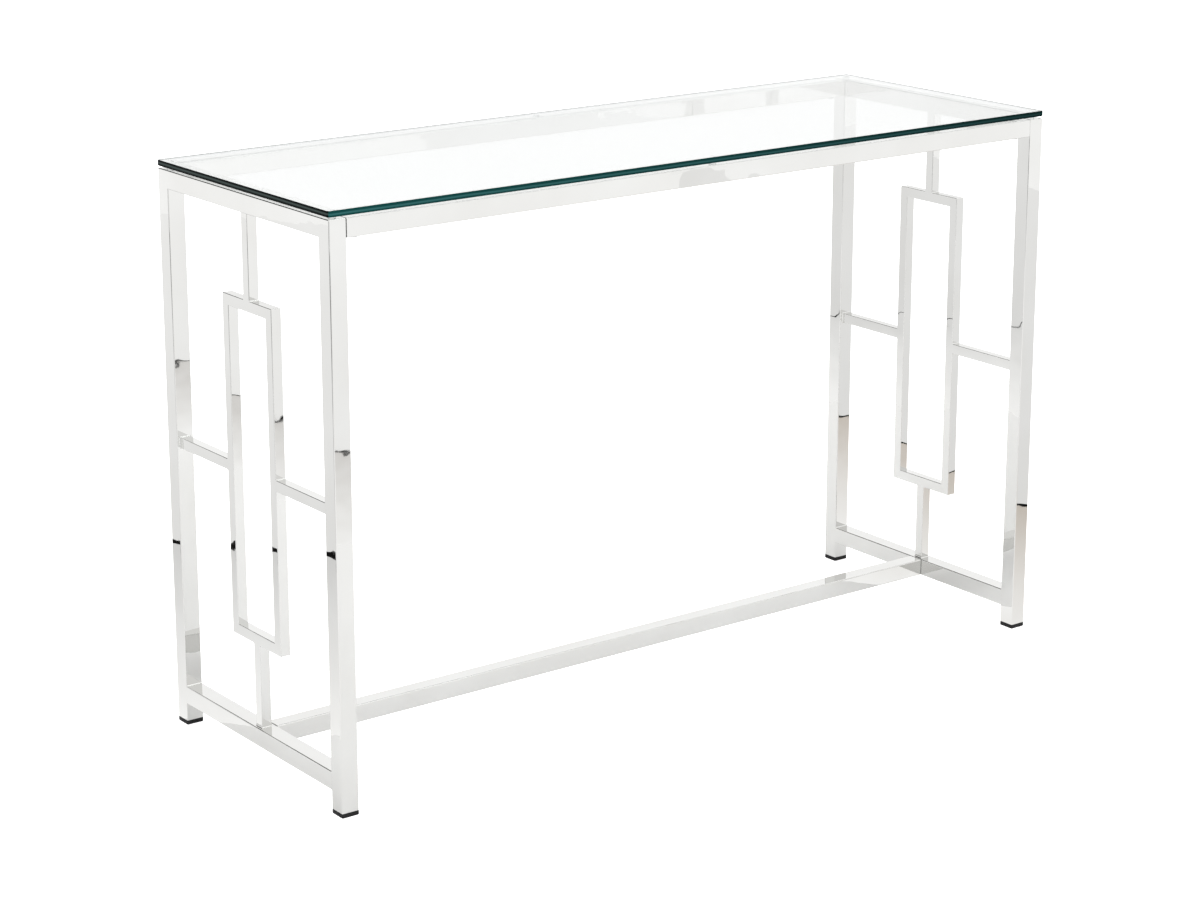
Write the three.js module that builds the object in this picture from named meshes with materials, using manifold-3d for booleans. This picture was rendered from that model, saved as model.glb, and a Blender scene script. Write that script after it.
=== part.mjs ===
// Console table: two chromed end frames of square tube, joined by two top rails and one centre
// stretcher that slide over welded spigots and are held by screws from below, with a glass top
// that rests on clear bumpers.
// Millimetres, +Z up. The origin is on the floor under the middle of the table, +X runs along its
// length and the front faces -Y.

import * as THREE from "three";
import { mergeVertices } from "three/addons/utils/BufferGeometryUtils.js";
import Module from "manifold-3d";

// Overall sizes, over the glass and down to the floor.
const tableLength = 1200;
const tableDepth = 425;
const tableHeight = 780;

// Glass top.
const glassThickness = 8;
const glassOverhang = 1; // how far the glass stands past the frame on every side
const glassCornerRadius = 5;
const glassArris = 0.8; // width of the ground chamfer along both rims

// Frame tube: posts, rails and stretcher.
const frameTube = 25;
const frameWall = 1.2;
const frameCornerRadius = 1.5;

// Ornament tube: the panel in each end frame and its rods.
const ornamentTube = 15;
const ornamentWall = 1;
const ornamentCornerRadius = 1;

// End frame.
const floorGap = 31; // from the floor to the underside of the bottom rails
const panelWidth = 122;
const panelHeight = 460;

// Gaps between pieces.
const weldGap = 0.3; // across each welded joint, where the weld bead goes
const seamGap = 0.5; // across each screwed joint between an end frame and a rail
const restGap = 0.1; // under a piece that only rests on its neighbour
const slideClearance = 0.3; // all round a plug or spigot inside its tube
const holeClearance = 0.3; // all round a screw's shank

// Spigots and their fixing screws.
const spigotLength = 40;
const spigotWall = 3;
const screwInset = 18; // from the end of a rail to its screw
const screwRadius = 3;
const screwLength = 12;
const screwHeadRadius = 5;
const screwHeadHeight = 3;
const socketWidth = 4; // hexagon socket, across its flats
const socketDepth = 1.8;

// Glides in the feet.
const glideHeight = 6;
const glidePlugHeight = 18;
const glideCore = 15;
const glideFinThickness = 1.6;
const glideFinCount = 3;

// Bumpers under the glass.
const bumperThickness = 3;
const bumperRadius = 5;
const bumperChamfer = 0.8;

// Smoothness of round shapes.
const cornerSegments = 2;
const roundSegments = 16;
const domeSegments = 3;

// Derived sizes.
const frameLength = tableLength - 2 * glassOverhang;
const frameDepth = tableDepth - 2 * glassOverhang;
const frameHeight = tableHeight - glassThickness - bumperThickness;
const halfTube = frameTube / 2;
const halfOrnament = ornamentTube / 2;
const postX = frameLength / 2 - halfTube;
const postY = frameDepth / 2 - halfTube;
const topRailZ = frameHeight - halfTube;
const bottomRailZ = floorGap + halfTube;
const panelZ = (bottomRailZ + topRailZ) / 2;
const panelBarY = panelWidth / 2 - halfOrnament;
const panelBarZ = panelHeight / 2 - halfOrnament;
const mitreSetback = weldGap / Math.SQRT2; // brings a mitred end back by half the gap across the cut

const up = new THREE.Vector3(0, 0, 1);
const right = new THREE.Vector3(1, 0, 0);
const back = new THREE.Vector3(0, 1, 0);
const down = up.clone().negate();
const front = back.clone().negate();

const wasm = await Module();
wasm.setup();

// ---------------------------------------------------------------------------------------------
// Materials
// ---------------------------------------------------------------------------------------------

const chrome = () =>
  new THREE.MeshStandardMaterial({ color: 0xe6e7e6, roughness: 0.06, metalness: 1 });
const zincSteel = () =>
  new THREE.MeshStandardMaterial({ color: 0xa9abad, roughness: 0.35, metalness: 1 });
const clearGlass = () =>
  new THREE.MeshStandardMaterial({
    color: 0xcfe6e0,
    roughness: 0.02,
    metalness: 0,
    transparent: true,
    opacity: 0.35,
  });
const blackPlastic = () =>
  new THREE.MeshStandardMaterial({ color: 0x151516, roughness: 0.5, metalness: 0 });
const clearPlastic = () =>
  new THREE.MeshStandardMaterial({
    color: 0xf2f5f6,
    roughness: 0.2,
    metalness: 0,
    transparent: true,
    opacity: 0.6,
  });

// ---------------------------------------------------------------------------------------------
// Solids
// ---------------------------------------------------------------------------------------------

function solidOf(geometry) {
  const bare = geometry.clone();
  bare.deleteAttribute("normal");
  bare.deleteAttribute("uv");
  const merged = mergeVertices(bare);
  return new wasm.Manifold(
    new wasm.Mesh({
      numProp: 3,
      vertProperties: merged.attributes.position.array,
      triVerts: new Uint32Array(merged.index.array),
    }),
  );
}

function geometryOf(solid) {
  const mesh = solid.getMesh();
  const geometry = new THREE.BufferGeometry();
  geometry.setAttribute("position", new THREE.BufferAttribute(mesh.vertProperties, 3));
  geometry.setIndex(new THREE.BufferAttribute(mesh.triVerts, 1));
  geometry.computeVertexNormals();
  return geometry;
}

function cut(geometry, cutters) {
  return geometryOf(
    cutters.reduce((solid, cutter) => solid.subtract(solidOf(cutter)), solidOf(geometry)),
  );
}

function join(geometries) {
  return geometryOf(geometries.map(solidOf).reduce((solid, other) => solid.add(other)));
}

function roundedRectangle(width, depth, radius) {
  const x = width / 2 - radius;
  const y = depth / 2 - radius;
  const quarter = Math.PI / 2;
  const shape = new THREE.Shape();
  shape.absarc(x, y, radius, 0, quarter);
  shape.absarc(-x, y, radius, quarter, 2 * quarter);
  shape.absarc(-x, -y, radius, 2 * quarter, 3 * quarter);
  shape.absarc(x, -y, radius, 3 * quarter, 4 * quarter);
  return shape;
}

// A square tube along +Z from 0 to length. A mitred end is cut at 45 degrees, longest on the
// tube's +X side, and the length is then measured along the middle of the tube.
function squareTube({ side, wall, radius, length, mitreStart = false, mitreEnd = false }) {
  const bar = new THREE.ExtrudeGeometry(roundedRectangle(side, side, radius), {
    depth: length,
    bevelEnabled: false,
    curveSegments: cornerSegments,
  });
  const position = bar.attributes.position;
  for (let i = 0; i < position.count; i++) {
    const atEnd = position.getZ(i) > length / 2;
    if (atEnd && mitreEnd) position.setZ(i, length + position.getX(i));
    if (!atEnd && mitreStart) position.setZ(i, -position.getX(i));
  }
  const boreSide = side - 2 * wall;
  const bore = new THREE.BoxGeometry(boreSide, boreSide, length + 2 * side);
  return cut(bar, [bore.translate(0, 0, length / 2)]);
}

const frameSection = { side: frameTube, wall: frameWall, radius: frameCornerRadius };
const ornamentSection = {
  side: ornamentTube,
  wall: ornamentWall,
  radius: ornamentCornerRadius,
};

function upright(radius, height, z) {
  return new THREE.CylinderGeometry(radius, radius, height, roundSegments)
    .rotateX(Math.PI / 2)
    .translate(0, 0, z);
}

// ---------------------------------------------------------------------------------------------
// Pieces
// ---------------------------------------------------------------------------------------------

function piece(parent, name, geometry, material) {
  const mesh = new THREE.Mesh(geometry, material);
  mesh.name = name;
  parent.add(mesh);
  return mesh;
}

// A tube laid from one point to another, with its +X side turned outwards.
function tubeBetween(parent, name, section, from, to, outwards, mitres = {}) {
  const along = to.clone().sub(from);
  const length = along.length();
  along.normalize();
  const geometry = squareTube({ ...section, length, ...mitres });
  const mesh = piece(parent, name, geometry, chrome());
  const side = along.clone().cross(outwards);
  mesh.quaternion.setFromRotationMatrix(new THREE.Matrix4().makeBasis(outwards, side, along));
  mesh.position.copy(from);
  return mesh;
}

const inPlane = (y, z) => new THREE.Vector3(0, y, z);

function addEndFrame(table, side, x) {
  const frame = new THREE.Group();
  frame.position.x = x;
  table.add(frame);

  const postFoot = glideHeight + restGap;
  const postTop = topRailZ - mitreSetback;
  const innerY = postY - halfTube - weldGap;
  const bothMitred = { mitreStart: true, mitreEnd: true };
  const tube = (name, ...rest) => tubeBetween(frame, `${side}_${name}`, ...rest);

  tube("front_post", frameSection, inPlane(-postY, postFoot), inPlane(-postY, postTop), front, {
    mitreEnd: true,
  });
  tube("back_post", frameSection, inPlane(postY, postFoot), inPlane(postY, postTop), back, {
    mitreEnd: true,
  });
  const railEnd = postY - mitreSetback;
  tube(
    "top_rail",
    frameSection,
    inPlane(-railEnd, topRailZ),
    inPlane(railEnd, topRailZ),
    up,
    bothMitred,
  );
  tube("bottom_rail", frameSection, inPlane(-innerY, bottomRailZ), inPlane(innerY, bottomRailZ), up);

  const barEndY = panelBarY - mitreSetback;
  const barEndZ = panelBarZ - mitreSetback;
  const panelTop = panelZ + panelBarZ;
  const panelBottom = panelZ - panelBarZ;
  for (const [name, y, outwards] of [
    ["panel_front_bar", -panelBarY, front],
    ["panel_back_bar", panelBarY, back],
  ]) {
    const from = inPlane(y, panelZ - barEndZ);
    const to = inPlane(y, panelZ + barEndZ);
    tube(name, ornamentSection, from, to, outwards, bothMitred);
  }
  for (const [name, z, outwards] of [
    ["panel_top_bar", panelTop, up],
    ["panel_bottom_bar", panelBottom, down],
  ]) {
    tube(name, ornamentSection, inPlane(-barEndY, z), inPlane(barEndY, z), outwards, bothMitred);
  }

  const aboveRail = bottomRailZ + halfTube + weldGap;
  const belowPanel = panelBottom - halfOrnament - weldGap;
  const abovePanel = panelTop + halfOrnament + weldGap;
  const belowRail = topRailZ - halfTube - weldGap;
  tube("lower_rod", ornamentSection, inPlane(0, aboveRail), inPlane(0, belowPanel), back);
  tube("upper_rod", ornamentSection, inPlane(0, abovePanel), inPlane(0, belowRail), back);

  const besidePanel = panelWidth / 2 + weldGap;
  tube("front_rod", ornamentSection, inPlane(-innerY, panelZ), inPlane(-besidePanel, panelZ), up);
  tube("back_rod", ornamentSection, inPlane(besidePanel, panelZ), inPlane(innerY, panelZ), up);

  for (const [name, y] of [
    ["front_glide", -postY],
    ["back_glide", postY],
  ]) {
    piece(frame, `${side}_${name}`, glideGeometry(), blackPlastic()).position.y = y;
  }
}

// A glide's flange carries the post; its finned plug grips the bore.
function glideGeometry() {
  const flange = new THREE.ExtrudeGeometry(
    roundedRectangle(frameTube, frameTube, frameCornerRadius),
    { depth: glideHeight, bevelEnabled: false, curveSegments: cornerSegments },
  );
  const core = new THREE.BoxGeometry(glideCore, glideCore, glideHeight + glidePlugHeight);
  core.translate(0, 0, (glideHeight + glidePlugHeight) / 2);
  const finSide = frameTube - 2 * frameWall - 2 * slideClearance;
  const pitch = glidePlugHeight / glideFinCount;
  const fins = Array.from({ length: glideFinCount }, (_, i) =>
    new THREE.BoxGeometry(finSide, finSide, glideFinThickness).translate(
      0,
      0,
      glideHeight + (i + 0.5) * pitch,
    ),
  );
  return join([flange, core, ...fins]);
}

// A rail or stretcher between the end frames, held at each end by a spigot and a screw. The
// spigots are welded to the faces at +-faceX.
function addScrewedRail(table, name, y, z, faceX) {
  const railEnd = faceX - seamGap;
  const from = new THREE.Vector3(-railEnd, y, z);
  const to = new THREE.Vector3(railEnd, y, z);
  const rail = tubeBetween(table, name, frameSection, from, to, down);
  const hole = (wall, centre, along) =>
    upright(screwRadius + holeClearance, 2 * wall, 0)
      .rotateY(-Math.PI / 2)
      .translate(centre, 0, along);
  const railWall = halfTube - frameWall / 2;
  rail.geometry = cut(rail.geometry, [
    hole(frameWall, railWall, screwInset),
    hole(frameWall, railWall, 2 * railEnd - screwInset),
  ]);

  const spigotSide = frameTube - 2 * frameWall - 2 * slideClearance;
  const spigotSection = { side: spigotSide, wall: spigotWall, radius: slideClearance };
  for (const [end, sign] of [
    ["left", -1],
    ["right", 1],
  ]) {
    const root = new THREE.Vector3(sign * (faceX - weldGap), y, z);
    const tip = root.clone().addScaledVector(right, -sign * spigotLength);
    const spigot = tubeBetween(table, `${name}_${end}_spigot`, spigotSection, root, tip, down);
    const tapped = hole(spigotWall, (spigotSide - spigotWall) / 2, seamGap - weldGap + screwInset);
    spigot.geometry = cut(spigot.geometry, [tapped]);
    spigot.material = zincSteel();
    const screw = piece(table, `${name}_${end}_screw`, screwGeometry(), zincSteel());
    screw.position.set(sign * (railEnd - screwInset), y, z - halfTube - restGap);
  }
}

// A button-head socket screw pointing up, with the underside of its head at z = 0.
function screwGeometry() {
  const dome = Array.from({ length: domeSegments + 1 }, (_, i) => {
    const angle = (i / domeSegments) * (Math.PI / 2);
    const flat = screwHeadRadius / 2;
    return new THREE.Vector2(
      i === 0 ? 0 : flat + (screwHeadRadius - flat) * Math.sin(angle),
      -screwHeadHeight * Math.cos(angle),
    );
  });
  dome.splice(1, 0, new THREE.Vector2(screwHeadRadius / 2, -screwHeadHeight));
  const tipChamfer = screwRadius / 4;
  const profile = [
    ...dome,
    new THREE.Vector2(screwRadius, 0),
    new THREE.Vector2(screwRadius, screwLength - tipChamfer),
    new THREE.Vector2(screwRadius - tipChamfer, screwLength),
    new THREE.Vector2(0, screwLength),
  ];
  const body = new THREE.LatheGeometry(profile, roundSegments).rotateX(Math.PI / 2);
  const socketRadius = socketWidth / Math.sqrt(3);
  const socket = new THREE.CylinderGeometry(socketRadius, socketRadius, 2 * socketDepth, 6)
    .rotateX(Math.PI / 2)
    .translate(0, 0, -screwHeadHeight);
  return cut(body, [socket]);
}

function addGlassTop(table) {
  const inset = 2 * glassArris;
  const outline = roundedRectangle(
    tableLength - inset,
    tableDepth - inset,
    glassCornerRadius - glassArris,
  );
  const geometry = new THREE.ExtrudeGeometry(outline, {
    depth: glassThickness - inset,
    bevelEnabled: true,
    bevelSegments: 1,
    bevelThickness: glassArris,
    bevelSize: glassArris,
    curveSegments: 2 * cornerSegments,
  });
  const glass = piece(table, "glass_top", geometry, clearGlass());
  glass.position.z = tableHeight - glassThickness + glassArris;
}

function bumperGeometry() {
  const height = bumperThickness - 2 * restGap;
  const profile = [
    new THREE.Vector2(0, 0),
    new THREE.Vector2(bumperRadius, 0),
    new THREE.Vector2(bumperRadius, height - bumperChamfer),
    new THREE.Vector2(bumperRadius - bumperChamfer, height),
    new THREE.Vector2(0, height),
  ];
  return new THREE.LatheGeometry(profile, roundSegments).rotateX(Math.PI / 2);
}

function addBumpers(table) {
  for (const [place, x] of [
    ["left", -postX],
    ["middle", 0],
    ["right", postX],
  ]) {
    for (const [edge, y] of [
      ["front", -postY],
      ["back", postY],
    ]) {
      const bumper = piece(table, `bumper_${place}_${edge}`, bumperGeometry(), clearPlastic());
      bumper.position.set(x, y, frameHeight + restGap);
    }
  }
}

// ---------------------------------------------------------------------------------------------
// The table
// ---------------------------------------------------------------------------------------------

const consoleTable = new THREE.Group();
addEndFrame(consoleTable, "left", -postX);
addEndFrame(consoleTable, "right", postX);
const innerFaceX = postX - halfTube;
addScrewedRail(consoleTable, "front_rail", -postY, topRailZ, innerFaceX);
addScrewedRail(consoleTable, "back_rail", postY, topRailZ, innerFaceX);
addScrewedRail(consoleTable, "stretcher", 0, bottomRailZ, innerFaceX);
addBumpers(consoleTable);
addGlassTop(consoleTable);

export default consoleTable;
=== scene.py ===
import math
from collections import namedtuple

import bmesh
import bpy
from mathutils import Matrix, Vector


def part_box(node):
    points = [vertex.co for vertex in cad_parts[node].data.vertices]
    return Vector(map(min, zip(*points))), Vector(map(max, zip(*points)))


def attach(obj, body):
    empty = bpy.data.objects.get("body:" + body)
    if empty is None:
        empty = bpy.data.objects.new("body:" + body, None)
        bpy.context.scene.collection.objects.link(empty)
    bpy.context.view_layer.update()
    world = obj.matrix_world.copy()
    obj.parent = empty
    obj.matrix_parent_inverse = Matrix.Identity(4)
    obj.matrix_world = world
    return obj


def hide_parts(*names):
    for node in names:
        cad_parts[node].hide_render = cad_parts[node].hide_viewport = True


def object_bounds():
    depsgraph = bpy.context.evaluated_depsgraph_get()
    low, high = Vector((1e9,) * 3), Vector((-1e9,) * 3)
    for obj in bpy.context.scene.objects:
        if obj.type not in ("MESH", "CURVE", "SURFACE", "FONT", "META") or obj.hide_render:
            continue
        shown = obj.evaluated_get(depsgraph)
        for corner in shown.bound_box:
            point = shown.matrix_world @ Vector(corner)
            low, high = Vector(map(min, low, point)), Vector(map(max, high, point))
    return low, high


# Console table: chromed square tube, a clear glass top with a green edge, and black glides.
# Metres, +Z up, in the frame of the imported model. Each visible piece takes its place and size
# from the boxes of the nodes that it replaces.

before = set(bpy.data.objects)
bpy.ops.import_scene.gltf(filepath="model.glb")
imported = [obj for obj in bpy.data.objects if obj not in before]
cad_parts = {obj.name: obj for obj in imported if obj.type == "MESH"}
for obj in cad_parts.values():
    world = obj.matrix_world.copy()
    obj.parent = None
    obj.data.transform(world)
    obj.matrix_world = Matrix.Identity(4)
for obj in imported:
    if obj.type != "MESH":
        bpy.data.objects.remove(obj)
cad_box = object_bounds()

MM = 0.001

# Steps along the round stretches, and how a piece is shaded and its points are merged.
FILLET_STEPS = 5
MITRE_STEPS = 5
CORNER_STEPS = 6
SHARP_ANGLE = math.radians(50)
FLATS_WEIGHT = 100
MERGE_DISTANCE = 0.001 * MM

Y = Vector((0, 1, 0))
Z = Vector((0, 0, 1))
SIDES = ("left", "right")


# -------------------------------------------------------------------------------------------
# Materials
# -------------------------------------------------------------------------------------------


def fill_ramp(ramp, stops):
    """Sets a colour ramp's stops: each is (position, colour or grey level)."""
    elements = ramp.color_ramp.elements
    while len(elements) < len(stops):
        elements.new(0.5)
    for element, (position, value) in zip(elements, stops):
        colour = value if isinstance(value, tuple) else (value, value, value)
        element.position = position
        element.color = (*colour, 1)


class Nodes:
    """A node tree, and short calls that add nodes and links to it."""

    def __init__(self, tree):
        self.tree = tree

    def node(self, kind, **values):
        made = self.tree.nodes.new(kind)
        for name, value in values.items():
            setattr(made, name, value)
        return made

    def link(self, source, target):
        self.tree.links.new(source, target)

    def math(self, operation, first, second):
        """The result for the socket first, and a second socket or number."""
        made = self.node("ShaderNodeMath", operation=operation)
        self.link(first, made.inputs[0])
        if isinstance(second, bpy.types.NodeSocket):
            self.link(second, made.inputs[1])
        else:
            made.inputs[1].default_value = second
        return made.outputs["Value"]

    def rescale(self, source, from_low, from_high, to_low=0.0, to_high=1.0, **values):
        """Moves source from one range to another, and keeps it inside that."""
        made = self.node("ShaderNodeMapRange", **values)
        made.inputs["From Min"].default_value = from_low
        made.inputs["From Max"].default_value = from_high
        made.inputs["To Min"].default_value = to_low
        made.inputs["To Max"].default_value = to_high
        self.link(source, made.inputs["Value"])
        return made.outputs["Result"]


class Shader(Nodes):
    """A new material with one Principled node."""

    def __init__(self, name, **values):
        self.material = bpy.data.materials.new(name)
        self.material.use_nodes = True
        super().__init__(self.material.node_tree)
        self.surface = self.tree.nodes["Principled BSDF"]
        for socket, value in values.items():
            self.surface.inputs[socket.replace("_", " ")].default_value = value

    def place(self):
        """The point on the piece, in metres."""
        return self.node("ShaderNodeTexCoord").outputs["Object"]

    def stretched(self, scale):
        mapping = self.node("ShaderNodeMapping")
        mapping.inputs["Scale"].default_value = scale
        self.link(self.place(), mapping.inputs["Vector"])
        return mapping.outputs["Vector"]

    def noise(self, scale, detail=2.0, stretch=(1, 1, 1)):
        made = self.node("ShaderNodeTexNoise")
        made.inputs["Scale"].default_value = scale
        made.inputs["Detail"].default_value = detail
        self.link(self.stretched(stretch), made.inputs["Vector"])
        return made.outputs["Fac"]

    def ramp(self, factor, *stops):
        """Colours or grey levels along factor: each stop is (position, value)."""
        made = self.node("ShaderNodeValToRGB")
        fill_ramp(made, stops)
        self.link(factor, made.inputs["Fac"])
        return made.outputs["Color"]

    def sum(self, first, second, share):
        """first plus second times share."""
        made = self.node("ShaderNodeMath", operation="MULTIPLY_ADD")
        self.link(second, made.inputs[0])
        made.inputs[1].default_value = share
        self.link(first, made.inputs[2])
        return made.outputs["Value"]

    def bump(self, height, distance):
        made = self.node("ShaderNodeBump")
        made.inputs["Distance"].default_value = distance
        self.link(height, made.inputs["Height"])
        self.link(made.outputs["Normal"], self.surface.inputs["Normal"])

    def set(self, socket, source):
        self.link(source, self.surface.inputs[socket])


def chrome_material():
    """Bright plating on rolled tube: slow waves in the flats, a fine skin, and cloudy polish."""
    shader = Shader("chrome_plating", Metallic=1.0)
    cloud = shader.noise(9, detail=3)
    warm = (0.700, 0.697, 0.680)
    cool = (0.735, 0.735, 0.722)
    shader.set("Base Color", shader.ramp(cloud, (0.3, warm), (0.7, cool)))
    smear = shader.noise(60, detail=4)
    shader.set("Roughness", shader.ramp(smear, (0.35, 0.008), (0.8, 0.03)))
    waves = shader.noise(26, detail=1)
    skin = shader.noise(420, detail=1)
    shader.bump(shader.sum(waves, skin, 0.002), 0.30 * MM)
    return shader.material


def zinc_material():
    """Zinc plated steel: mottled grey, with fine turning marks."""
    shader = Shader("zinc_plated_steel", Metallic=1.0)
    mottle = shader.noise(500, detail=4)
    dull = (0.42, 0.43, 0.45)
    bright = (0.62, 0.62, 0.6)
    shader.set("Base Color", shader.ramp(mottle, (0.3, dull), (0.7, bright)))
    shader.set("Roughness", shader.ramp(shader.noise(900), (0.3, 0.25), (0.7, 0.45)))
    shader.bump(shader.noise(1500, stretch=(1, 1, 4)), 0.02 * MM)
    return shader.material


def black_plastic_material():
    """Injection moulded glide: near black, with a fine spark-eroded grain and scuffs."""
    shader = Shader("black_plastic", Specular_IOR_Level=0.2)
    cloud = shader.noise(140, detail=4)
    deep = (0.005, 0.005, 0.005)
    faded = (0.012, 0.012, 0.013)
    shader.set("Base Color", shader.ramp(cloud, (0.3, deep), (0.75, faded)))
    scuffs = shader.noise(90, detail=3)
    shader.set("Roughness", shader.ramp(scuffs, (0.3, 0.5), (0.7, 0.7)))
    shader.bump(shader.noise(2600, detail=2), 0.03 * MM)
    return shader.material


def clear_plastic_material():
    """Soft clear bumper."""
    shader = Shader("clear_plastic", Transmission_Weight=1.0, IOR=1.45)
    hazy = (0.90, 0.92, 0.92)
    clear = (0.97, 0.98, 0.98)
    shader.set("Base Color", shader.ramp(shader.noise(300), (0.3, hazy), (0.7, clear)))
    shader.set("Roughness", shader.ramp(shader.noise(700), (0.3, 0.08), (0.7, 0.18)))
    return shader.material


GLASS_IOR = 1.52


def clear_glass_material():
    """The two broad faces of the glass: clear, with the faintest green and faint wiping marks."""
    shader = Shader("clear_glass", Transmission_Weight=1.0, IOR=GLASS_IOR)
    cloud = shader.noise(3, detail=1)
    greener = (0.972, 0.992, 0.987)
    clearer = (0.984, 0.996, 0.992)
    shader.set("Base Color", shader.ramp(cloud, (0.3, greener), (0.7, clearer)))
    wiped = shader.noise(14, detail=3, stretch=(1, 5, 1))
    shader.set("Roughness", shader.ramp(wiped, (0.5, 0.0), (0.9, 0.02)))
    return shader.material


# The painted highlight in the glass's edge, a lighter band, in shares of the thickness.
PAINTED_HIGHLIGHT_HALF = 0.06
PAINTED_HIGHLIGHT_FADE_BELOW = 0.16
PAINTED_HIGHLIGHT_FADE_ABOVE = 0.14
PAINTED_HIGHLIGHT_RIPPLE = 0.2
# Painted light: the pale colour of a glass edge seen from inside, through the top.
PAINTED_EDGE_FROM_INSIDE = (0.50, 0.54, 0.53, 1)


def painted_glass_edge_material(name, low, high, body, painted_highlight, painted_highlight_level, painted_shade_left, painted_shade_right):
    """A polished glass edge between the corners low and high, whose look is painted light in its
    colour. Light crosses the whole slab before it comes out here, so the edge is painted deep
    green, with a painted highlight, a lighter band, inside it at the given level. Painted shade
    darkens the whole, from the left factor to the right factor. Seen from inside, through the top,
    it is painted as pale as the rest."""
    shader = Shader(name, Roughness=0.06, IOR=GLASS_IOR, Specular_IOR_Level=0.02)
    place = shader.node("ShaderNodeSeparateXYZ")
    shader.link(shader.place(), place.inputs["Vector"])
    level = shader.rescale(place.outputs["Z"], low.z, high.z)
    ripple = shader.noise(12, detail=3, stretch=(1, 1, 0))
    wavy = shader.sum(level, ripple, PAINTED_HIGHLIGHT_RIPPLE)
    # Painted highlight: a lighter, wavy band across the painted green of the edge.
    painted_highlight_low = painted_highlight_level - PAINTED_HIGHLIGHT_HALF
    painted_highlight_high = painted_highlight_level + PAINTED_HIGHLIGHT_HALF
    green = shader.ramp(
        wavy,
        (painted_highlight_low - PAINTED_HIGHLIGHT_FADE_BELOW, body),
        (painted_highlight_low, painted_highlight),
        (painted_highlight_high, painted_highlight),
        (painted_highlight_high + PAINTED_HIGHLIGHT_FADE_ABOVE, body),
    )
    # Painted shade: the edge colour grows darker from left to right.
    painted_shade_factor = shader.rescale(place.outputs["X"], low.x, high.x, painted_shade_left, painted_shade_right)
    painted_edge_colour = shader.node("ShaderNodeVectorMath", operation="SCALE")
    shader.link(green, painted_edge_colour.inputs[0])
    shader.link(painted_shade_factor, painted_edge_colour.inputs["Scale"])
    # Painted light: from inside, through the top, the edge is given a pale colour.
    inside = shader.node("ShaderNodeNewGeometry")
    mix = shader.node("ShaderNodeMix", data_type="RGBA")
    shader.link(inside.outputs["Backfacing"], mix.inputs["Factor"])
    shader.link(painted_edge_colour.outputs["Vector"], mix.inputs["A"])
    mix.inputs["B"].default_value = PAINTED_EDGE_FROM_INSIDE
    shader.set("Base Color", mix.outputs["Result"])
    shader.bump(shader.noise(60, detail=2), 0.02 * MM)
    return shader.material


CHROME = chrome_material()
ZINC = zinc_material()
BLACK_PLASTIC = black_plastic_material()
CLEAR_PLASTIC = clear_plastic_material()


# -------------------------------------------------------------------------------------------
# Mesh tools
# -------------------------------------------------------------------------------------------


def finish_piece(name, mesh, materials, nodes):
    """Makes mesh (a bmesh) into a piece that stands for the CAD nodes, with crisp flats."""
    bmesh.ops.remove_doubles(mesh, verts=mesh.verts, dist=MERGE_DISTANCE)
    bmesh.ops.recalc_face_normals(mesh, faces=mesh.faces)
    for face in mesh.faces:
        face.smooth = True
    for edge in mesh.edges:
        edge.smooth = edge.calc_face_angle(0) < SHARP_ANGLE
    data = bpy.data.meshes.new(name)
    mesh.to_mesh(data)
    mesh.free()
    for material in materials:
        data.materials.append(material)
    piece = bpy.data.objects.new(name, data)
    bpy.context.scene.collection.objects.link(piece)
    flats = piece.modifiers.new("flats", "WEIGHTED_NORMAL")
    flats.keep_sharp = True
    flats.weight = FLATS_WEIGHT
    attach(piece, "root")
    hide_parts(*nodes)
    return piece


def loft(rings, looped=False):
    """A bmesh skinned through rings of equal length: capped at both ends, or looped back to the
    first ring, as a tube with a bore is."""
    mesh = bmesh.new()
    loops = [[mesh.verts.new(point) for point in ring] for ring in rings]
    count = len(rings[0])
    pairs = list(zip(loops, loops[1:]))
    if looped:
        pairs.append((loops[-1], loops[0]))
    else:
        mesh.faces.new(loops[0])
        mesh.faces.new(loops[-1])
    for lower, upper in pairs:
        for i in range(count):
            j = (i + 1) % count
            mesh.faces.new((lower[i], lower[j], upper[j], upper[i]))
    return mesh


def rounded_square(half, radius):
    """The outline of a rounded square, as (x, y, normal x, normal y) for each point."""
    points = []
    inner = half - radius
    for corner in range(4):
        middle = math.pi / 2 * corner + math.pi / 4
        cx = math.copysign(inner, math.cos(middle))
        cy = math.copysign(inner, math.sin(middle))
        for step in range(CORNER_STEPS + 1):
            angle = math.pi / 2 * (corner + step / CORNER_STEPS)
            nx = math.cos(angle)
            ny = math.sin(angle)
            points.append((cx + radius * nx, cy + radius * ny, nx, ny))
    return points


def circle(radius, count):
    turns = [2 * math.pi * i / count for i in range(count)]
    return [(radius * math.cos(a), radius * math.sin(a)) for a in turns]


def level_ring(outline, centre, z):
    """The outline's (x, y) points, round centre and at height z."""
    return [Vector((centre.x + x, centre.y + y, z)) for x, y in outline]


# -------------------------------------------------------------------------------------------
# Tubes
# -------------------------------------------------------------------------------------------
# An end is a list of rings and the shape of the bore's mouth. Each is a function from an outline
# point to its place near the end: (x, y, distance past the nominal end of the tube).

FRAME_WALL = 1.2 * MM
FRAME_CORNER = 1.5 * MM
ORNAMENT_WALL = 1.0 * MM
ORNAMENT_CORNER = 1.0 * MM
BORE_CORNER_SHARE = 0.03
WELD_FILLET = 1.2 * MM
DEBURR = 0.35 * MM
DEBURR_STEPS = 2


def mitred_end(half, radius):
    """A 45 degree cut, longest on the +x side, where the outer corner is ground round."""
    limit = half - radius

    def ring(angle):
        def place(x, y, nx, ny):
            flat = min(x, limit)
            beyond = x - flat
            return flat + beyond * math.cos(angle), y, flat + beyond * math.sin(angle)

        return place

    def mouth(x, y, nx, ny):
        return x, y, x

    return [ring(math.pi / 4 * i / MITRE_STEPS) for i in range(MITRE_STEPS + 1)], mouth


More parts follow.
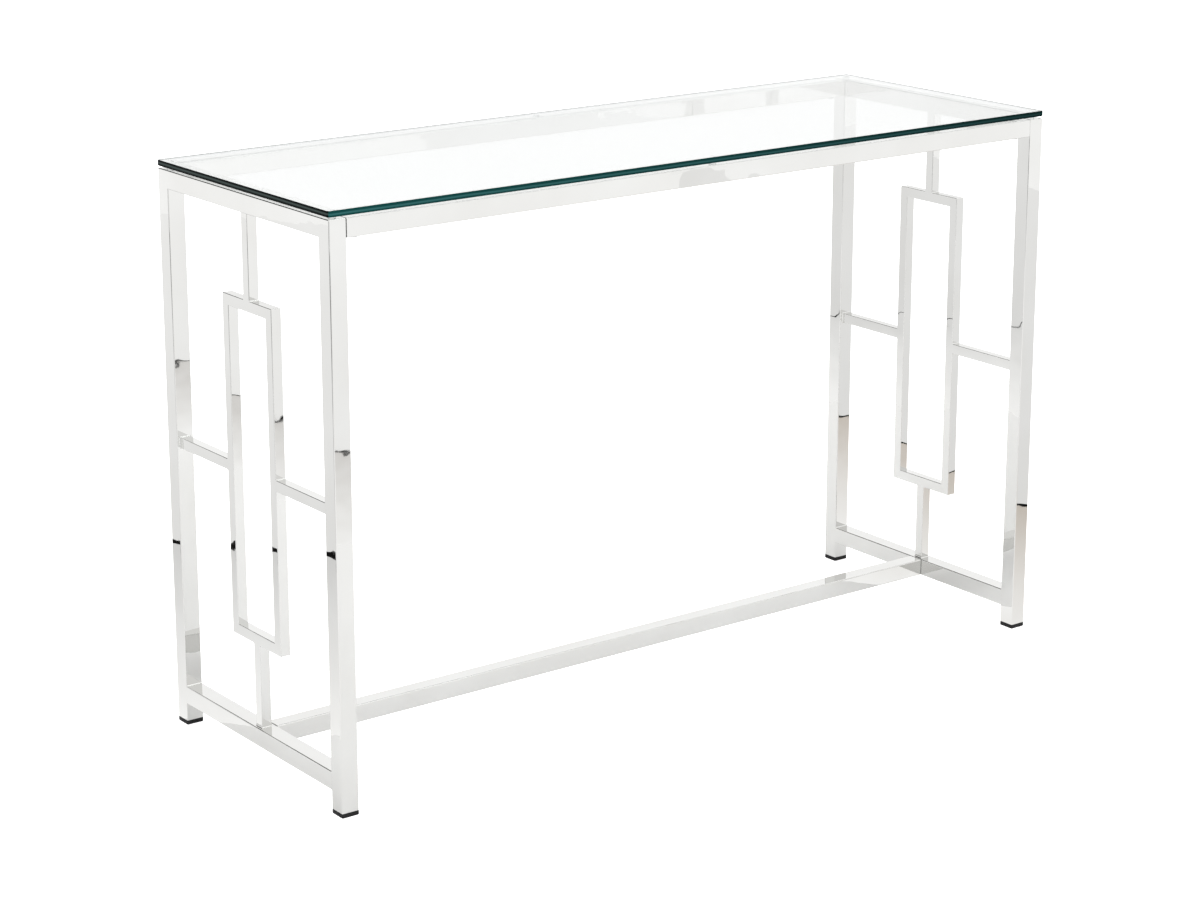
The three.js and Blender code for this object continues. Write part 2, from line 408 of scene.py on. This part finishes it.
def welded_end(free_x=1, free_y=1, embed=0.0):
    """A butt joint with a small fillet on the free sides. The other sides run on flush over the
    neighbour's rounded edge, for the distance embed."""

    def ring(angle, past):
        grow = WELD_FILLET * (1 - math.cos(angle))

        def place(x, y, nx, ny):
            return x + nx * free_x * grow, y + ny * free_y * grow, past

        return place

    def mouth(x, y, nx, ny):
        return x, y, embed

    rings = []
    for i in range(FILLET_STEPS + 1):
        angle = math.pi / 2 * i / FILLET_STEPS
        rings.append(ring(angle, WELD_FILLET * (math.sin(angle) - 1)))
    if embed:
        rings.append(ring(math.pi / 2, embed))
    return rings, mouth


def cut_end():
    """A square cut with its rim deburred."""

    def ring(angle):
        inward = DEBURR * (1 - math.cos(angle))

        def place(x, y, nx, ny):
            return x - nx * inward, y - ny * inward, DEBURR * (math.sin(angle) - 1)

        return place

    def mouth(x, y, nx, ny):
        return x, y, 0

    return [ring(math.pi / 2 * i / DEBURR_STEPS) for i in range(DEBURR_STEPS + 1)], mouth


class Section:
    """A square tube's cross-section."""

    def __init__(self, side, wall, radius):
        self.half = side / 2
        self.wall = wall
        self.radius = radius
        self.outer = rounded_square(self.half, radius)
        bore_half = self.half - wall
        self.bore = rounded_square(bore_half, bore_half * BORE_CORNER_SHARE)


def tube(node, section, start, end, outwards, start_end, end_end):
    """The finished tube for a CAD node, from start to end, with its +x side turned outwards."""
    along = (end - start).normalized()
    side = along.cross(outwards)

    def ring(outline, place, origin, forward):
        points = []
        for point in outline:
            x, y, past = place(*point)
            points.append(origin + outwards * x + side * y + along * (past * forward))
        return points

    start_rings, start_mouth = start_end
    end_rings, end_mouth = end_end
    rings = [ring(section.outer, place, start, -1) for place in reversed(start_rings)]
    rings += [ring(section.outer, place, end, 1) for place in end_rings]
    rings.append(ring(section.bore, end_mouth, end, 1))
    rings.append(ring(section.bore, start_mouth, start, -1))
    return finish_piece(f"{node}_chromed", loft(rings, looped=True), [CHROME], [node])


post_low, post_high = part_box("left_front_post")
bar_low, bar_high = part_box("left_panel_front_bar")
FRAME_TUBE = Section(post_high.x - post_low.x, FRAME_WALL, FRAME_CORNER)
ORNAMENT_TUBE = Section(bar_high.x - bar_low.x, ORNAMENT_WALL, ORNAMENT_CORNER)


def add_end_frame(side):
    """Posts and top rail mitred at the top, bottom rail between the posts, and the panel with
    its four rods."""
    front_low, front_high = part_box(f"{side}_front_post")
    back_low, back_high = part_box(f"{side}_back_post")
    bottom_low, bottom_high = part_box(f"{side}_bottom_rail")
    top_low, top_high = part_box(f"{side}_top_rail")
    x = (front_low.x + front_high.x) / 2
    half = FRAME_TUBE.half
    front_y = front_low.y + half
    back_y = back_high.y - half
    top_z = top_high.z - half

    def at(y, z):
        return Vector((x, y, z))

    def frame_tube(name, start, end, outwards, start_end, end_end):
        tube(f"{side}_{name}", FRAME_TUBE, start, end, outwards, start_end, end_end)

    mitre = mitred_end(half, FRAME_TUBE.radius)
    flush = welded_end(free_y=0, embed=FRAME_TUBE.wall)
    frame_tube("front_post", at(front_y, front_low.z), at(front_y, top_z), -Y, cut_end(), mitre)
    frame_tube("back_post", at(back_y, back_low.z), at(back_y, top_z), Y, cut_end(), mitre)
    frame_tube("top_rail", at(front_y, top_z), at(back_y, top_z), Z, mitre, mitre)
    bottom_z = (bottom_low.z + bottom_high.z) / 2
    rail_front = at(front_high.y, bottom_z)
    rail_back = at(back_low.y, bottom_z)
    frame_tube("bottom_rail", rail_front, rail_back, Z, flush, flush)

    def ornament(name, start, end, outwards, start_end, end_end):
        tube(f"{side}_{name}", ORNAMENT_TUBE, start, end, outwards, start_end, end_end)

    reach = ORNAMENT_TUBE.half
    panel_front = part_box(f"{side}_panel_front_bar")[0].y
    panel_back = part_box(f"{side}_panel_back_bar")[1].y
    panel_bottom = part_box(f"{side}_panel_bottom_bar")[0].z
    panel_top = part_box(f"{side}_panel_top_bar")[1].z
    low_front = at(panel_front + reach, panel_bottom + reach)
    low_back = at(panel_back - reach, panel_bottom + reach)
    high_front = at(panel_front + reach, panel_top - reach)
    high_back = at(panel_back - reach, panel_top - reach)
    corner = mitred_end(reach, ORNAMENT_TUBE.radius)
    ornament("panel_front_bar", low_front, high_front, -Y, corner, corner)
    ornament("panel_back_bar", low_back, high_back, Y, corner, corner)
    ornament("panel_top_bar", high_front, high_back, Z, corner, corner)
    ornament("panel_bottom_bar", low_front, low_back, -Z, corner, corner)

    rod_y = (panel_front + panel_back) / 2
    rod_z = (panel_bottom + panel_top) / 2
    on_frame = welded_end()
    on_panel = welded_end(free_y=0, embed=ORNAMENT_TUBE.wall)
    ornament("lower_rod", at(rod_y, bottom_high.z), at(rod_y, panel_bottom), Y, on_frame, on_panel)
    ornament("upper_rod", at(rod_y, panel_top), at(rod_y, top_low.z), Y, on_panel, on_frame)
    ornament("front_rod", at(front_high.y, rod_z), at(panel_front, rod_z), Z, on_frame, on_panel)
    ornament("back_rod", at(panel_back, rod_z), at(back_low.y, rod_z), Z, on_panel, on_frame)


SCREW_HOLE_RADIUS = 3.3 * MM
SCREW_HOLE_POINTS = 32


def drill(piece, centre, depth):
    """Cuts a screw's hole along Z through the wall at centre."""
    outline = circle(SCREW_HOLE_RADIUS, SCREW_HOLE_POINTS)
    mesh = loft([[centre + Vector((x, y, z)) for x, y in outline] for z in (-depth, depth)])
    bmesh.ops.recalc_face_normals(mesh, faces=mesh.faces)
    data = bpy.data.meshes.new("drill")
    mesh.to_mesh(data)
    mesh.free()
    cutter = bpy.data.objects.new("drill", data)
    bpy.context.scene.collection.objects.link(cutter)
    hole = piece.modifiers.new("hole", "BOOLEAN")
    hole.operation = "DIFFERENCE"
    hole.solver = "EXACT"
    hole.object = cutter
    with bpy.context.temp_override(object=piece):
        bpy.ops.object.modifier_move_to_index(modifier="hole", index=0)
        bpy.ops.object.modifier_apply(modifier="hole")
    bpy.data.objects.remove(cutter)
    bpy.data.meshes.remove(data)


def add_screwed_rail(name):
    """A rail between the end frames, square at both ends and drilled for its screws."""
    low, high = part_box(name)
    middle = (low + high) / 2
    start = Vector((low.x, middle.y, middle.z))
    end = Vector((high.x, middle.y, middle.z))
    rail = tube(name, FRAME_TUBE, start, end, -Z, cut_end(), cut_end())
    for side in SIDES:
        screw_low, screw_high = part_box(f"{name}_{side}_screw")
        centre = (screw_low + screw_high) / 2
        centre.z = low.z
        drill(rail, centre, 2 * FRAME_TUBE.wall)


# -------------------------------------------------------------------------------------------
# Small parts
# -------------------------------------------------------------------------------------------

GLIDE_BOTTOM_EDGE = 1.0 * MM
GLIDE_TOP_EDGE = 0.4 * MM
GLIDE_FLANGE = 6 * MM
GLIDE_CORE = 15 * MM
GLIDE_CLEARANCE = 0.3 * MM
GLIDE_FIN = 1.6 * MM
GLIDE_FINS = 3


def add_glide(node):
    """A square glide: a flange under the post and a finned plug in its bore."""
    low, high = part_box(node)
    centre = (low + high) / 2
    half = (high.x - low.x) / 2
    fin_half = half - FRAME_TUBE.wall - GLIDE_CLEARANCE
    core_half = GLIDE_CORE / 2
    profile = []
    for i in range(FILLET_STEPS + 1):
        angle = math.pi / 2 * i / FILLET_STEPS
        inset = GLIDE_BOTTOM_EDGE * (1 - math.sin(angle))
        profile.append((half - inset, GLIDE_BOTTOM_EDGE * (1 - math.cos(angle))))
    profile.append((half, GLIDE_FLANGE - GLIDE_TOP_EDGE))
    profile.append((half - GLIDE_TOP_EDGE, GLIDE_FLANGE))
    profile.append((core_half, GLIDE_FLANGE))
    pitch = (high.z - low.z - GLIDE_FLANGE) / GLIDE_FINS
    for i in range(GLIDE_FINS):
        fin_low = GLIDE_FLANGE + (i + 0.5) * pitch - GLIDE_FIN / 2
        fin_high = fin_low + GLIDE_FIN
        profile.append((core_half, fin_low))
        profile.append((fin_half - GLIDE_FIN / 4, fin_low))
        profile.append((fin_half, (fin_low + fin_high) / 2))
        profile.append((core_half, fin_high))
    profile.append((core_half, high.z - low.z))
    rings = []
    for size, z in profile:
        outline = [(x, y) for x, y, _, _ in rounded_square(size, FRAME_TUBE.radius)]
        rings.append(level_ring(outline, centre, low.z + z))
    finish_piece(f"{node}_moulded", loft(rings), [BLACK_PLASTIC], [node])


BUMPER_POINTS = 40
BUMPER_STEPS = 6
BUMPER_CROWN_SHARE = 0.55
BUMPER_WALL_SHARE = 0.25


def add_bumper(node):
    """A clear bumper: a low dome with a flat crown, stuck to the frame under the glass."""
    low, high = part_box(node)
    centre = (low + high) / 2
    radius = (high.x - low.x) / 2
    height = high.z - low.z
    crown = radius * BUMPER_CROWN_SHARE
    wall = height * BUMPER_WALL_SHARE
    profile = [(radius, 0), (radius, wall)]
    for i in range(1, BUMPER_STEPS + 1):
        angle = math.pi / 2 * i / BUMPER_STEPS
        across = crown + (radius - crown) * math.cos(angle)
        profile.append((across, wall + (height - wall) * math.sin(angle)))
    rings = []
    for size, z in profile:
        rings.append(level_ring(circle(size, BUMPER_POINTS), centre, low.z + z))
    finish_piece(f"{node}_clear", loft(rings), [CLEAR_PLASTIC], [node])


SCREW_POINTS = 48
SCREW_HEAD_HEIGHT = 3 * MM
SCREW_SHANK_RADIUS = 3 * MM
SCREW_FACE_LIP = 0.1 * MM
SOCKET_WIDTH = 4 * MM
SOCKET_DEPTH = 1.8 * MM
SOCKET_CHAMFER = 0.15 * MM
THREAD_PITCH = 1.0 * MM
THREAD_DEPTH = 0.35 * MM


def hexagon(width, count):
    """A hexagon with that width across its flats, as count points."""
    points = []
    for i in range(count):
        angle = 2 * math.pi * i / count
        from_flat = (angle + math.pi / 6) % (math.pi / 3) - math.pi / 6
        radius = width / 2 / math.cos(from_flat)
        points.append((radius * math.cos(angle), radius * math.sin(angle)))
    return points


def add_screw(node):
    """A button-head socket screw, head down, with a threaded shank."""
    low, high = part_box(node)
    centre = (low + high) / 2
    head_radius = (high.x - low.x) / 2
    land = head_radius / 2
    outlines = [
        (hexagon(SOCKET_WIDTH, SCREW_POINTS), SOCKET_DEPTH),
        (hexagon(SOCKET_WIDTH, SCREW_POINTS), SOCKET_CHAMFER),
        (hexagon(SOCKET_WIDTH + 2 * SOCKET_CHAMFER, SCREW_POINTS), 0),
        (circle(land + SCREW_FACE_LIP, SCREW_POINTS), 0),
    ]
    for i in range(1, FILLET_STEPS + 1):
        angle = math.pi / 2 * i / FILLET_STEPS
        across = land + (head_radius - land) * math.sin(angle)
        z = SCREW_HEAD_HEIGHT * (1 - math.cos(angle))
        outlines.append((circle(across, SCREW_POINTS), z))
    crest = circle(SCREW_SHANK_RADIUS, SCREW_POINTS)
    root = circle(SCREW_SHANK_RADIUS - THREAD_DEPTH, SCREW_POINTS)
    tip = circle(SCREW_SHANK_RADIUS - 2 * THREAD_DEPTH, SCREW_POINTS)
    outlines.append((crest, SCREW_HEAD_HEIGHT))
    z = SCREW_HEAD_HEIGHT + THREAD_PITCH
    while z + THREAD_PITCH < high.z - low.z:
        outlines.append((crest, z))
        outlines.append((root, z + THREAD_PITCH / 2))
        z += THREAD_PITCH
    outlines.append((tip, high.z - low.z))
    rings = [level_ring(outline, centre, low.z + z) for outline, z in outlines]
    finish_piece(f"{node}_turned", loft(rings), [ZINC], [node])


# -------------------------------------------------------------------------------------------
# Glass top
# -------------------------------------------------------------------------------------------

GLASS_CORNER = 5 * MM
GLASS_ARRIS = 0.8 * MM
GLASS_CORNER_STEPS = 8
BROAD_FACE = 0.9


def glass_outline(low, high, inset):
    """The top's outline, pulled in by inset, as (x, y) points."""
    radius = GLASS_CORNER - inset
    points = []
    for corner in range(4):
        middle = math.pi / 2 * corner + math.pi / 4
        cx = high.x - GLASS_CORNER if math.cos(middle) > 0 else low.x + GLASS_CORNER
        cy = high.y - GLASS_CORNER if math.sin(middle) > 0 else low.y + GLASS_CORNER
        for step in range(GLASS_CORNER_STEPS + 1):
            angle = math.pi / 2 * (corner + step / GLASS_CORNER_STEPS)
            points.append((cx + radius * math.cos(angle), cy + radius * math.sin(angle)))
    return points


def add_glass_top(node):
    """A polished slab with an arris along both rims. Its long edges and its short edges have
    their own painted depth of green: painted light that stands in for the light crossing less or
    more glass to reach them."""
    low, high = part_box(node)
    levels = [
        (low.z, GLASS_ARRIS),
        (low.z + GLASS_ARRIS, 0),
        (high.z - GLASS_ARRIS, 0),
        (high.z, GLASS_ARRIS),
    ]
    rings = []
    for z, inset in levels:
        rings.append([Vector((x, y, z)) for x, y in glass_outline(low, high, inset)])
    mesh = loft(rings)
    mesh.normal_update()
    for face in mesh.faces:
        across_x, across_y, across_z = (abs(part) for part in face.normal)
        if across_z > BROAD_FACE:
            face.material_index = 0
        elif across_y > across_x:
            face.material_index = 1
        else:
            face.material_index = 2
    # Both edge materials are painted light: a painted depth of green, a highlight and shade.
    long_edge = painted_glass_edge_material(
        "glass_long_edge_painted_light",
        low,
        high,
        body=(0.0030, 0.034, 0.032),
        painted_highlight=(0.021, 0.083, 0.083),
        painted_highlight_level=0.56,
        painted_shade_left=1.02,
        painted_shade_right=0.24,
    )
    short_edge = painted_glass_edge_material(
        "glass_short_edge_painted_light",
        low,
        high,
        body=(0.0008, 0.0024, 0.0024),
        painted_highlight=(0.036, 0.050, 0.047),
        painted_highlight_level=0.65,
        painted_shade_left=0.8,
        painted_shade_right=0.8,
    )
    materials = [clear_glass_material(), long_edge, short_edge]
    finish_piece("glass_top_polished", mesh, materials, [node])


# -------------------------------------------------------------------------------------------
# The table
# -------------------------------------------------------------------------------------------

RAILS = ("front_rail", "back_rail", "stretcher")

for side in SIDES:
    add_end_frame(side)
    add_glide(f"{side}_front_glide")
    add_glide(f"{side}_back_glide")
for rail in RAILS:
    add_screwed_rail(rail)
    for side in SIDES:
        add_screw(f"{rail}_{side}_screw")
        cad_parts[f"{rail}_{side}_spigot"].data.materials[0] = ZINC
for place in ("left", "middle", "right"):
    for edge in ("front", "back"):
        add_bumper(f"bumper_{place}_{edge}")
add_glass_top("glass_top")


# -------------------------------------------------------------------------------------------
# Camera
# -------------------------------------------------------------------------------------------

# The view of the photograph: the camera looks down a little from the front left, from beside and
# above the line to AIM, the middle of the table.

CAMERA_AZIMUTH = math.radians(-36.86)
CAMERA_PITCH = math.radians(14.4)
CAMERA_DISTANCE = 4.07
CAMERA_SIDE = -0.0284
CAMERA_RISE = 0.0757
CAMERA_LENS = 87.12
CAMERA_SENSOR = 36
CAMERA_SHIFT = -0.08
CAMERA_CLIP_END = 100
AIM = (Vector(cad_box[0]) + Vector(cad_box[1])) / 2

back = Vector(
    (
        math.sin(CAMERA_AZIMUTH) * math.cos(CAMERA_PITCH),
        -math.cos(CAMERA_AZIMUTH) * math.cos(CAMERA_PITCH),
        math.sin(CAMERA_PITCH),
    )
)
across = Vector((math.cos(CAMERA_AZIMUTH), math.sin(CAMERA_AZIMUTH), 0))
above = back.cross(across)
camera_data = bpy.data.cameras.new("camera")
camera_data.lens = CAMERA_LENS
camera_data.sensor_width = CAMERA_SENSOR
camera_data.shift_y = CAMERA_SHIFT
camera_data.clip_end = CAMERA_CLIP_END
camera = bpy.data.objects.new("camera", camera_data)
camera.location = AIM + back * CAMERA_DISTANCE + across * CAMERA_SIDE + above * CAMERA_RISE
camera.rotation_mode = "QUATERNION"
camera.rotation_quaternion = (-back).to_track_quat("-Z", "Y")
bpy.context.scene.collection.objects.link(camera)
bpy.context.scene.camera = camera


# -------------------------------------------------------------------------------------------
# Studio
# -------------------------------------------------------------------------------------------
# A pale floor under an even white sky, and two white boards that stand on the floor to the left
# and right, in line with the camera. Only reflections show the boards, which turn dark towards
# the camera, the shaded floor at their feet, and the dark floor around the camera. All of these
# are glowing cards with painted light and painted shade.

WHITE = 1.22


def grey(level, warmth=0.0):
    return (level * (1 + warmth), level, level * (1 - warmth))


def emission(name):
    """A new material that only glows, its Nodes and its Emission node."""
    material = bpy.data.materials.new(name)
    material.use_nodes = True
    nodes = Nodes(material.node_tree)
    nodes.tree.nodes.clear()
    output = nodes.node("ShaderNodeOutputMaterial")
    glow = nodes.node("ShaderNodeEmission")
    nodes.link(glow.outputs["Emission"], output.inputs["Surface"])
    return material, nodes, glow


def plain_glow(name, colour):
    material, _, glow = emission(name)
    glow.inputs["Color"].default_value = (*colour, 1)
    return material


def graded(name, axis, low, high, *stops):
    """A glow that changes along one axis of the card, from low to high."""
    material, nodes, glow = emission(name)
    split = nodes.node("ShaderNodeSeparateXYZ")
    nodes.link(nodes.node("ShaderNodeTexCoord").outputs["Object"], split.inputs["Vector"])
    brightest = max(max(colour) for _, colour in stops)
    shares = []
    for position, colour in stops:
        shares.append((position, tuple(channel / brightest for channel in colour)))
    ramp = nodes.node("ShaderNodeValToRGB")
    fill_ramp(ramp, shares)
    nodes.link(nodes.rescale(split.outputs[axis], low, high), ramp.inputs["Fac"])
    nodes.link(ramp.outputs["Color"], glow.inputs["Color"])
    glow.inputs["Strength"].default_value = brightest
    return material


def add_card(name, corners, material):
    """A flat card that only reflections see. Its corners are in the camera's plan: metres to the
    right of the table's middle, metres away from the camera, and height."""
    mesh = bmesh.new()
    mesh.faces.new([mesh.verts.new(corner) for corner in corners])
    data = bpy.data.meshes.new(name)
    mesh.to_mesh(data)
    mesh.free()
    data.materials.append(material)
    made = bpy.data.objects.new(name, data)
    made.rotation_euler = (0, 0, CAMERA_AZIMUTH)
    made.visible_camera = False
    made.visible_diffuse = False
    made.visible_transmission = False
    made.visible_shadow = False
    bpy.context.scene.collection.objects.link(made)


def add_upright_card(name, right, front, rear, low, high, material):
    """An upright card that runs away from the camera."""
    corners = [(right, front, low), (right, rear, low), (right, rear, high), (right, front, high)]
    add_card(name, corners, material)


def add_level_card(name, left, right, front, rear, height, material):
    outline = [(left, front), (right, front), (right, rear), (left, rear)]
    add_card(name, [(*corner, height) for corner in outline], material)


# Places in the camera's plan, as in add_card.
BOARD_HEIGHT = 0.55
BOARD_FRONT = -3.2
BOARD_BACK = 3.0
LEFT_BOARD = -1.31
RIGHT_BOARD = 1.19
DARK_ROOM_FRONT = -3.75
DARK_ROOM_BACK = -2.05
DARK_ROOM_SOLID_SHARE = 0.4
BOARD_TURN = 0.6
CARD_LIFT = 1 * MM
PAINTED_SHADE = grey(0.2)
BOARD_GAP_PAINTED_SHADOW = grey(0.01)

# One part of a board: the depth of the dark gap under it, a painted shadow, its painted light at
# the foot and at the top, the colour of the painted shade on the floor at its foot, and how far
# that shade reaches.
BoardPart = namedtuple("BoardPart", "gap foot top shade reach")


def add_board(name, right, inwards, middle, turn_end, near, far):
    """A white board that stands on the floor, at that distance to the right, with the part near
    before middle and the part far behind it. It is made of glowing cards with painted light and
    shade: painted shade turns it dark in front of turn_end, a dark strip under each part is a
    painted shadow, and a floor card at its foot holds painted shade. inwards is 1 or -1, the side
    that its shade lies on."""
    # Painted shadow: a near-black glowing strip under each part stands for the shaded gap.
    dark = plain_glow(f"{name}_gap", BOARD_GAP_PAINTED_SHADOW)
    for part_name, part, front, rear in (
        ("near", near, BOARD_FRONT, middle),
        ("far", far, middle, BOARD_BACK),
    ):
        part_name = f"{name}_{part_name}"
        # Painted light: the board face glows, lighter towards its top, though it is no lamp.
        light = ((0, grey(part.foot)), (1, grey(part.top)))
        face = graded(f"{part_name}_face", "Z", 0, BOARD_HEIGHT, *light)
        add_upright_card(part_name, right, front, rear, part.gap, BOARD_HEIGHT, face)
        add_upright_card(f"{part_name}_gap", right, front, rear, 0, part.gap, dark)
        end = right + inwards * part.reach
        shade = graded(f"{part_name}_shade", "X", right, end, (0, part.shade), (1, grey(WHITE)))
        add_level_card(f"{part_name}_shade", right, end, front, rear, CARD_LIFT, shade)
    # Painted shade: the board's front end glows dark, growing light towards turn_end.
    turn = ((0, PAINTED_SHADE), (1, grey(1.0)))
    turning = graded(f"{name}_front", "Y", turn_end - BOARD_TURN, turn_end, *turn)
    inside = right + inwards * CARD_LIFT
    add_upright_card(f"{name}_front", inside, BOARD_FRONT, turn_end, 0, BOARD_HEIGHT, turning)


def add_dark_room():
    """A card with painted shade: the unlit floor around the camera, which grows light towards the
    table.
    """
    # Painted shade: dark near the camera, fading to white towards the table.
    stops = ((0, PAINTED_SHADE), (DARK_ROOM_SOLID_SHARE, PAINTED_SHADE), (1, grey(WHITE)))
    fading = graded("dark_room", "Y", DARK_ROOM_FRONT, DARK_ROOM_BACK, *stops)
    height = 2 * CARD_LIFT
    add_level_card("dark_room", LEFT_BOARD, 0, DARK_ROOM_FRONT, DARK_ROOM_BACK, height, fading)


FLOOR_REACH = 40
FLOOR_CELLS = 8
FLOOR_GAP = 0.2 * MM
FLOOR_IN_CHROME = 0.68
FLOOR_IN_GLASS = 0.55
FLOOR_GLOW = 0.6


def add_floor():
    """A large pale sheet on the ground, overexposed to the camera and calmer in the chrome and
    through the glass. It is clear from below, so that the underside can be looked at."""
    mesh = bmesh.new()
    bmesh.ops.create_grid(mesh, x_segments=FLOOR_CELLS, y_segments=FLOOR_CELLS, size=FLOOR_REACH)
    data = bpy.data.meshes.new("floor")
    mesh.to_mesh(data)
    mesh.free()
    paper = Shader("floor_paper", Roughness=0.7, Specular_IOR_Level=0.0)
    colour = paper.ramp(paper.noise(4), (0.3, 0.90), (0.7, 0.91))
    path = paper.node("ShaderNodeLightPath")
    for rays, level in (
        ("Is Glossy Ray", FLOOR_IN_CHROME),
        ("Is Transmission Ray", FLOOR_IN_GLASS),
    ):
        mix = paper.node("ShaderNodeMix", data_type="RGBA")
        paper.link(path.outputs[rays], mix.inputs["Factor"])
        paper.link(colour, mix.inputs["A"])
        mix.inputs["B"].default_value = (*grey(level), 1)
        colour = mix.outputs["Result"]
    paper.set("Base Color", colour)
    paper.surface.inputs["Emission Color"].default_value = (1, 1, 1, 1)
    glow = paper.math("MULTIPLY", path.outputs["Is Camera Ray"], FLOOR_GLOW)
    paper.set("Emission Strength", glow)
    below = paper.node("ShaderNodeNewGeometry")
    clear = paper.node("ShaderNodeBsdfTransparent")
    sides = paper.node("ShaderNodeMixShader")
    paper.link(below.outputs["Backfacing"], sides.inputs["Fac"])
    paper.link(paper.surface.outputs["BSDF"], sides.inputs[1])
    paper.link(clear.outputs["BSDF"], sides.inputs[2])
    paper.link(sides.outputs["Shader"], paper.tree.nodes["Material Output"].inputs["Surface"])
    data.materials.append(paper.material)
    floor = bpy.data.objects.new("floor", data)
    floor.location.z = -FLOOR_GAP
    bpy.context.scene.collection.objects.link(floor)


SKY_LIGHT = 1.75
DARK_OPENING = Vector((0.03, 0.77, 0.63)).normalized()
DARK_OPENING_REACH = math.radians(40)
DARK_OPENING_CORE = math.radians(32)
DARK_OPENING_LEVEL = 0.03
SILL = Vector((-0.5, 0, 1))
SILL_LIGHT = 0.19
SILL_DARK = 0.30

# The sky's level in the chrome, by the height of the look: 0 is level and 1 is straight up.
SKY_LEVELS = ((0.0, 0.95), (0.14, 0.95), (0.165, 0.84), (0.215, 0.84), (0.27, 0.95), (1.0, 1.0))


def add_sky():
    """An even white sky for light. Reflections show it a little darker low down, with one dark
    opening high up behind the table, cut off below by a sill that climbs to the right. Light that
    comes straight through the glass misses the opening."""
    world = bpy.data.worlds.new("studio")
    bpy.context.scene.world = world
    world.use_nodes = True
    sky = Nodes(world.node_tree)
    sky.tree.nodes.clear()
    look = sky.node("ShaderNodeTexCoord").outputs["Generated"]
    path = sky.node("ShaderNodeLightPath")

    def within(direction, outside, inside):
        """1 where the look along direction is more than inside, 0 where less than outside."""
        toward = sky.node("ShaderNodeVectorMath", operation="DOT_PRODUCT")
        toward.inputs[1].default_value = direction
        sky.link(look, toward.inputs[0])
        dot = toward.outputs["Value"]
        return sky.rescale(dot, outside, inside, interpolation_type="SMOOTHSTEP")

    reach = math.cos(DARK_OPENING_REACH)
    core = math.cos(DARK_OPENING_CORE)
    opening = within(DARK_OPENING, reach, core)
    above_sill = within(SILL, SILL_LIGHT, SILL_DARK)
    reflected = sky.math("GREATER_THAN", path.outputs["Glossy Depth"], 0.5)
    darkness = sky.math("MULTIPLY", sky.math("MULTIPLY", opening, above_sill), reflected)
    split = sky.node("ShaderNodeSeparateXYZ")
    sky.link(look, split.inputs["Vector"])
    ramp = sky.node("ShaderNodeValToRGB")
    fill_ramp(ramp, SKY_LEVELS)
    sky.link(split.outputs["Z"], ramp.inputs["Fac"])
    seen = sky.node("ShaderNodeBackground")
    sky.link(ramp.outputs["Color"], seen.inputs["Color"])
    strength = sky.rescale(darkness, 0, 1, WHITE, DARK_OPENING_LEVEL)
    sky.link(strength, seen.inputs["Strength"])
    plain = sky.node("ShaderNodeBackground")
    plain.inputs["Color"].default_value = (1, 1, 1, 1)
    plain.inputs["Strength"].default_value = SKY_LIGHT
    mix = sky.node("ShaderNodeMixShader")
    sky.link(path.outputs["Is Glossy Ray"], mix.inputs["Fac"])
    sky.link(plain.outputs["Background"], mix.inputs[1])
    sky.link(seen.outputs["Background"], mix.inputs[2])
    output = sky.node("ShaderNodeOutputWorld")
    sky.link(mix.outputs["Shader"], output.inputs["Surface"])


SOFTBOX_PLACE = Vector((0.3, -0.6, 3.2))
SOFTBOX_LENGTH = 3.0
SOFTBOX_WIDTH = 2.4
SOFTBOX_POWER = 12


def add_softbox():
    """A large soft light above the table, aimed at it."""
    light = bpy.data.lights.new("top_softbox", "AREA")
    light.shape = "RECTANGLE"
    light.size = SOFTBOX_LENGTH
    light.size_y = SOFTBOX_WIDTH
    light.energy = SOFTBOX_POWER
    made = bpy.data.objects.new("top_softbox", light)
    made.location = SOFTBOX_PLACE
    made.rotation_mode = "QUATERNION"
    made.rotation_quaternion = (AIM - SOFTBOX_PLACE).to_track_quat("-Z", "Y")
    made.visible_camera = False
    made.visible_glossy = False
    bpy.context.scene.collection.objects.link(made)


add_board(
    "left_board",
    LEFT_BOARD,
    inwards=1,
    middle=0.3,
    turn_end=-0.9,
    near=BoardPart(gap=11 * MM, foot=0.99, top=1.12, shade=grey(0.84), reach=0.7),
    far=BoardPart(gap=4 * MM, foot=0.94, top=1.04, shade=grey(0.93), reach=0.7),
)
add_board(
    "right_board",
    RIGHT_BOARD,
    inwards=-1,
    middle=-0.5,
    turn_end=-1.7,
    near=BoardPart(gap=5 * MM, foot=1.12, top=1.23, shade=grey(0.84, 0.02), reach=0.5),
    far=BoardPart(gap=5 * MM, foot=0.98, top=1.06, shade=grey(0.70, 0.09), reach=0.7),
)
add_dark_room()
add_floor()
add_sky()
add_softbox()
bpy.context.scene.view_settings.view_transform = "Standard"
